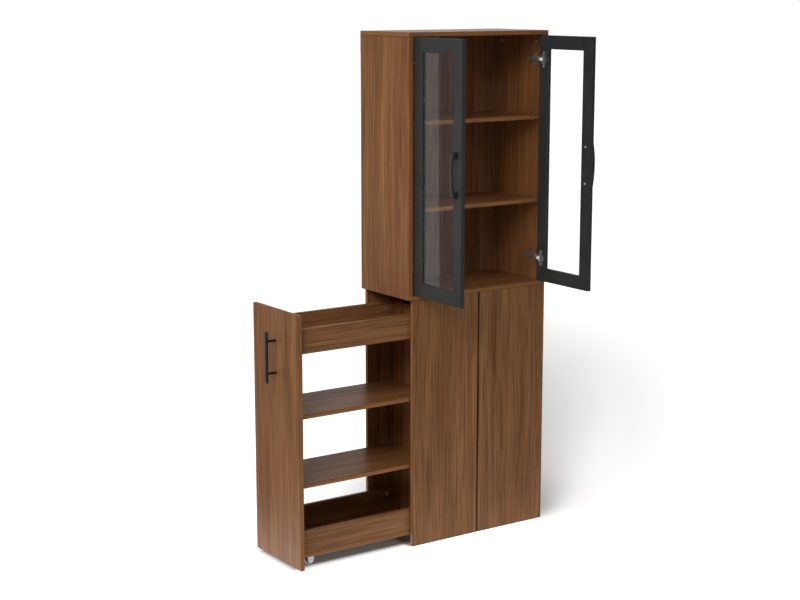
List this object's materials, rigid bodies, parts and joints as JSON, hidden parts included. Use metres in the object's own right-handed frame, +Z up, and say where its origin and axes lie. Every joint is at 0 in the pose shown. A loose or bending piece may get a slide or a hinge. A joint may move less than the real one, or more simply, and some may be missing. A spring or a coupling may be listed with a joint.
{
  "type": "tall kitchen cabinet",
  "caption": "Tall narrow walnut-laminate pantry cabinet with framed glass doors above and a sideways pull-out trolley with trays and shelves on casters below.",
  "frame": {"origin": "on the floor, at the middle of the cabinet's width, halfway through the lower back board's thickness", "axes": "+X along the front to the right, +Y to the back, +Z up"},
  "size_m": [1.0915, 0.5795, 1.8],
  "materials": {
    "walnut_laminate": "satin walnut laminate",
    "back_laminate": "satin walnut-faced fibreboard",
    "charcoal_frame": "matt charcoal foil on fibreboard",
    "clear_glass": "clear float glass",
    "black_metal": "satin black",
    "nickel_steel": "nickel plated",
    "zinc_fitting": "dull zinc",
    "beech_dowel": "raw beech",
    "black_wheel": "matt black",
    "caster_metal": "zinc plated"
  },
  "bodies": {
    "carcass": {"top_panel": "walnut_laminate", "upper_left_side": "walnut_laminate", "upper_right_side": "walnut_laminate", "middle_panel": "walnut_laminate", "upper_back_panel": "back_laminate", "cabinet_upper_shelf": "walnut_laminate", "cabinet_lower_shelf": "walnut_laminate", "shelf_pins": "nickel_steel", "lower_front_left_board": "walnut_laminate", "lower_front_right_board": "walnut_laminate", "lower_back_board": "walnut_laminate", "lower_right_side": "walnut_laminate", "carcass_screws": "nickel_steel", "carcass_cam_locks": "zinc_fitting", "carcass_cam_bolts": "nickel_steel", "carcass_dowels": "beech_dowel", "left_hinge_plates": "nickel_steel", "left_hinge_arms": "nickel_steel", "right_hinge_plates": "nickel_steel", "right_hinge_arms": "nickel_steel"},
    "left_door": {"left_door_hinge_stile": "charcoal_frame", "left_door_free_stile": "charcoal_frame", "left_door_top_rail": "charcoal_frame", "left_door_bottom_rail": "charcoal_frame", "left_door_glass": "clear_glass", "left_door_handle": "black_metal", "left_door_screws": "nickel_steel", "left_hinge_cups": "nickel_steel"},
    "right_door": {"right_door_hinge_stile": "charcoal_frame", "right_door_free_stile": "charcoal_frame", "right_door_top_rail": "charcoal_frame", "right_door_bottom_rail": "charcoal_frame", "right_door_glass": "clear_glass", "right_door_handle": "black_metal", "right_door_screws": "nickel_steel", "right_hinge_cups": "nickel_steel"},
    "left_hinge_link_pair": {"left_hinge_links": "nickel_steel"},
    "right_hinge_link_pair": {"right_hinge_links": "nickel_steel"},
    "cart": {"cart_outer_panel": "walnut_laminate", "cart_inner_panel": "walnut_laminate", "cart_top_near_rail": "walnut_laminate", "cart_top_far_rail": "walnut_laminate", "cart_top_tray_floor": "walnut_laminate", "cart_upper_shelf": "walnut_laminate", "cart_lower_shelf": "walnut_laminate", "cart_bottom_near_rail": "walnut_laminate", "cart_bottom_far_rail": "walnut_laminate", "cart_bottom_board": "walnut_laminate", "cart_handle_bar": "black_metal", "cart_handle_posts": "black_metal", "cart_handle_screws": "nickel_steel", "cart_cam_locks": "zinc_fitting", "cart_cam_bolts": "nickel_steel", "caster_brackets": "caster_metal"},
    "wheel_outer_near": {"caster_wheel_outer_near": "black_wheel"},
    "wheel_outer_far": {"caster_wheel_outer_far": "black_wheel"},
    "wheel_inner_near": {"caster_wheel_inner_near": "black_wheel"},
    "wheel_inner_far": {"caster_wheel_inner_far": "black_wheel"}
  },
  "joints": [
    {"name": "left_door_swing", "type": "hinge", "parent": "carcass", "child": "left_door", "pos_m": [-0.2793, -0.2933, 1.344], "axis": [0, 0, -1], "range_deg": [-92, 3]},
    {"name": "right_door_swing", "type": "hinge", "parent": "carcass", "child": "right_door", "pos_m": [0.2793, -0.2933, 1.344], "axis": [0, 0, 1], "range_deg": [-90, 5]},
    {"name": "left_hinge_link_swing", "type": "hinge", "parent": "carcass", "child": "left_hinge_link_pair", "pos_m": [-0.269, -0.2745, 1.344], "axis": [0, 0, -1], "range_deg": [-86, 4]},
    {"name": "right_hinge_link_swing", "type": "hinge", "parent": "carcass", "child": "right_hinge_link_pair", "pos_m": [0.269, -0.2745, 1.344], "axis": [0, 0, 1], "range_deg": [-84, 6]},
    {"name": "cart_roll", "type": "slide", "parent": "carcass", "child": "cart", "axis": [1, 0, 0], "range_m": [-0.1, 0.445]},
    {"name": "wheel_outer_near_spin", "type": "hinge", "parent": "cart", "child": "wheel_outer_near", "pos_m": [-0.68, -0.2405, 0.017], "axis": [0, 1, 0], "range_deg": [-360, 1600]},
    {"name": "wheel_outer_far_spin", "type": "hinge", "parent": "cart", "child": "wheel_outer_far", "pos_m": [-0.68, -0.0445, 0.017], "axis": [0, 1, 0], "range_deg": [-360, 1600]},
    {"name": "wheel_inner_near_spin", "type": "hinge", "parent": "cart", "child": "wheel_inner_near", "pos_m": [-0.228, -0.2405, 0.017], "axis": [0, 1, 0], "range_deg": [-360, 1600]},
    {"name": "wheel_inner_far_spin", "type": "hinge", "parent": "cart", "child": "wheel_inner_far", "pos_m": [-0.228, -0.0445, 0.017], "axis": [0, 1, 0], "range_deg": [-360, 1600]}
  ],
  "couplings": [
    {"joint": "left_hinge_link_swing", "follows": "left_door_swing", "ratio": 0.92},
    {"joint": "right_hinge_link_swing", "follows": "right_door_swing", "ratio": 0.92},
    {"joint": "wheel_outer_near_spin", "follows": "cart_roll", "rad_per_m": 58.824},
    {"joint": "wheel_outer_far_spin", "follows": "cart_roll", "rad_per_m": 58.824},
    {"joint": "wheel_inner_near_spin", "follows": "cart_roll", "rad_per_m": 58.824},
    {"joint": "wheel_inner_far_spin", "follows": "cart_roll", "rad_per_m": 58.824}
  ]
}
